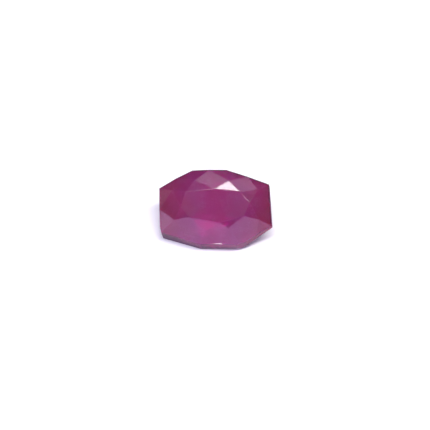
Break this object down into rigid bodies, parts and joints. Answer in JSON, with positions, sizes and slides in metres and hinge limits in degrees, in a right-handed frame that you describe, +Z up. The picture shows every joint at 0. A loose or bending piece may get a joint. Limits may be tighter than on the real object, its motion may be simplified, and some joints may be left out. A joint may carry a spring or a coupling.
{
  "type": "faceted sapphire gemstone",
  "caption": "Loose purplish pink sapphire in an eight-sided barrel cut, lying on a lower facet with its table tilted up to the viewer.",
  "frame": {"origin": "centre of the box's footprint, on the surface that the stone lies on", "axes": "+Z up, +X along the stone's long side, -Y the side towards which the table leans"},
  "size_m": [0.0072, 0.0048, 0.0033],
  "materials": {
    "sapphire": "polished"
  },
  "bodies": {
    "root": {"sapphire": "sapphire"}
  },
  "joints": []
}
